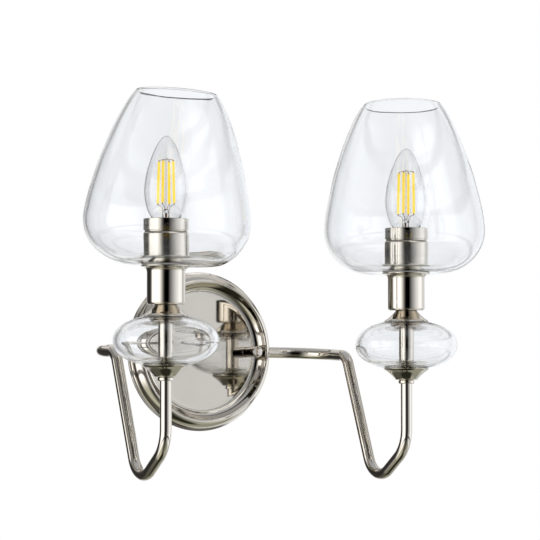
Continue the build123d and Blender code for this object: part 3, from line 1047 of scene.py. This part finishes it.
def studio_world():
    """White behind the light for the camera, and a plain studio in metal and glass."""
    world = bpy.data.worlds.new("studio")
    bpy.context.scene.world = world
    world.use_nodes = True
    graph = Graph(world.node_tree)
    graph.tree.nodes.clear()
    aim = graph.node("ShaderNodeTexCoord", output="Generated")
    turn = math.radians(CAMERA_TURN)
    side, near, up = [graph.vector("DOT_PRODUCT", aim, axis, output=1) for axis in (
        (math.cos(turn), math.sin(turn), 0), (math.sin(turn), -math.cos(turn), 0), (0, 0, 1),
    )]
    round_turn = graph.maths("ARCTAN2", side, near) * (0.5 / math.pi) + 0.5

    def bands(levels):
        stops = [((degrees + 180) / 360, level / STUDIO_PEAK) for degrees, level in levels]
        band = graph.node("ShaderNodeValToRGB", {"stops": stops}, {"Fac": round_turn})
        return graph.vector("MULTIPLY", band, (STUDIO_PEAK,) * 3)

    def rise(low, high):
        """0 below one sine of elevation, 1 above another."""
        return graph.between(up, low, high, kind="SMOOTHSTEP")

    # The walls: warm on the left and cooler on the right, with a grey ceiling, three dark rails
    # and a dim floor that is dark straight below.
    level = bands(STUDIO_LEVEL)
    cooler = graph.vector("MULTIPLY", level, COOLER)
    level = graph.blend(graph.between(side, -0.2, 0.6), level, cooler)
    room = graph.blend(rise(0.22, 0.45), level, bands(STUDIO_ABOVE))
    room = graph.blend(rise(0.72, 0.92), room, CEILING)
    rails = rise(0.30, 0.34) - rise(0.40, 0.44) + rise(0.60, 0.63) - rise(0.67, 0.70)
    rails += rise(-0.44, -0.40) - rise(-0.36, -0.32)
    room = graph.blend(rails * 0.85, room, RAIL)
    below = graph.vector("MULTIPLY", level, FLOOR_SHEEN)
    below = graph.blend(0.30, below, FLOOR_GLOW)
    below = graph.blend(rise(-0.97, -0.90), STRAIGHT_DOWN, below)
    room = graph.blend(rise(-0.70, -0.45), below, room)

    # Dull surfaces see an even light grey. Rays that only pass through glass see near white, and
    # more of the room the further they are bent. Those that were mirrored inside one wall and
    # leave it away from the camera see a lighter room.
    mirrored, crossed, through, camera = graph.light_path(
        "Glossy Depth", "Transmission Depth", "Is Transmission Ray", "Is Camera Ray"
    )
    spread = side * side + 0.35 * (up * up)
    onward = graph.between(spread, 0.10, 0.85, 0.97, 0.66, "SMOOTHSTEP")
    behind_glass = graph.blend(onward, graph.vector("MINIMUM", room, WHITE), THROUGH_GLASS)
    seen = graph.blend(through, EVEN_GREY, behind_glass)
    one_wall = through * graph.maths("COMPARE", crossed, 2.0, 0.5)
    ahead = graph.between(near, 0.3, -0.3)
    room = graph.blend(0.4 * one_wall * ahead, room, THROUGH_GLASS)
    seen = graph.blend(graph.maths("MINIMUM", mirrored, 1.0), seen, room)
    seen = graph.blend(camera, seen, WHITE)
    light = graph.node("ShaderNodeBackground", {}, {"Color": seen, "Strength": 1.0})
    end = graph.tree.nodes.new("ShaderNodeOutputWorld")
    graph.plug(end.inputs["Surface"], light)


def pale_floor(tone):
    """The floor's material: it keeps the shadow and fades into the white round it."""
    finish = Finish("stage_floor")
    apart = finish.vector("LENGTH", finish.place, output=1)
    edge = finish.ramp(apart, (0.25, 0.0), (0.95, 1.0))
    camera, mirrored = finish.light_path("Is Camera Ray", "Glossy Depth")
    finish.set(Base_Color=tone, Roughness=0.8)
    white = finish.node("ShaderNodeEmission", {}, {"Color": (*WHITE, 1.0)})
    clear = finish.node("ShaderNodeBsdfTransparent")
    plain = Wire(finish, finish.shader.outputs[0])
    seen = finish.node("ShaderNodeMixShader", {}, {0: camera * edge, 1: plain, 2: white})
    bounced = finish.maths("MINIMUM", mirrored, 1.0)
    seen = finish.node("ShaderNodeMixShader", {}, {0: bounced, 1: seen, 2: clear})
    finish.plug(finish.tree.nodes["Material Output"].inputs["Surface"], seen)
    return finish.material


class SCONCE_OT_stage(bpy.types.Operator):
    """Set up the camera, the soft studio and the pale floor"""
    bl_idname = "sconce.stage"
    bl_label = "Stage"

    def execute(self, context):
        lens = bpy.data.cameras.new("camera")
        lens.lens, lens.sensor_width = CAMERA_LENS, 36.0
        lens.clip_start, lens.clip_end = 0.05, 50.0
        camera = bpy.data.objects.new("camera", lens)
        context.scene.collection.objects.link(camera)
        back = look_back()
        camera.location = Vector(CAMERA_TARGET) + back * CAMERA_DISTANCE
        camera.rotation_euler = (-back).to_track_quat("-Z", "Y").to_euler()
        context.scene.camera = camera
        context.scene.view_settings.view_transform = "Standard"
        studio_world()

        soft = bpy.data.lights.new("soft_overhead", "AREA")
        soft.shape, soft.size, soft.energy = "DISK", 1.6, 14.0
        lamp = bpy.data.objects.new("soft_overhead", soft)
        context.scene.collection.objects.link(lamp)
        lamp.location = LAMP_PLACE
        aim = Vector(LAMP_TARGET) - Vector(LAMP_PLACE)
        lamp.rotation_euler = aim.to_track_quat("-Z", "Y").to_euler()
        lamp.visible_glossy = lamp.visible_transmission = lamp.visible_camera = False

        disc = bmesh.new()
        bmesh.ops.create_circle(disc, cap_ends=True, segments=96, radius=1.0)
        mesh = bpy.data.meshes.new("floor")
        disc.to_mesh(mesh)
        disc.free()
        mesh.materials.append(pale_floor(tuple(context.scene.sconce_finish.floor)))
        floor = bpy.data.objects.new("floor", mesh)
        floor.location = FLOOR_PLACE
        context.scene.collection.objects.link(floor)
        return {"FINISHED"}


# ---------------------------------------------------------------- sidebar and registration

class SCONCE_PT_pieces(bpy.types.Panel):
    """Lists the pieces of the wall light and their sizes"""
    bl_idname = "SCONCE_PT_pieces"
    bl_label = "Wall Sconce"
    bl_space_type = "VIEW_3D"
    bl_region_type = "UI"
    bl_category = "Sconce"

    def draw(self, context):
        for operator in OPERATORS:
            self.layout.operator(operator.bl_idname)
        for name in GROUPS:
            group = getattr(context.scene, name)
            box = self.layout.box()
            for size in group.__annotations__:
                box.prop(group, size)


GROUPS = {"sconce_metal": SconceMetal, "sconce_glass": SconceGlass, "sconce_finish": SconceFinish}
OPERATORS = (
    SCONCE_OT_stage,
    SCONCE_OT_wall_plate,
    SCONCE_OT_knobs,
    SCONCE_OT_arms,
    SCONCE_OT_beads_and_cups,
    SCONCE_OT_glass_balls,
    SCONCE_OT_sleeves,
    SCONCE_OT_shades,
    SCONCE_OT_bulb_glass,
    SCONCE_OT_light_strips,
    SCONCE_OT_inner_parts,
)


def register():
    for part in (*GROUPS.values(), *OPERATORS, SCONCE_PT_pieces):
        bpy.utils.register_class(part)
    for name, group in GROUPS.items():
        setattr(bpy.types.Scene, name, bpy.props.PointerProperty(type=group))


def unregister():
    for name in GROUPS:
        delattr(bpy.types.Scene, name)
    for part in reversed((*GROUPS.values(), *OPERATORS, SCONCE_PT_pieces)):
        bpy.utils.unregister_class(part)


def main():
    register()
    for operator in OPERATORS:
        family, name = operator.bl_idname.split(".")
        getattr(getattr(bpy.ops, family), name)()
    bpy.context.view_layer.update()


if __name__ == "__main__":
    main()
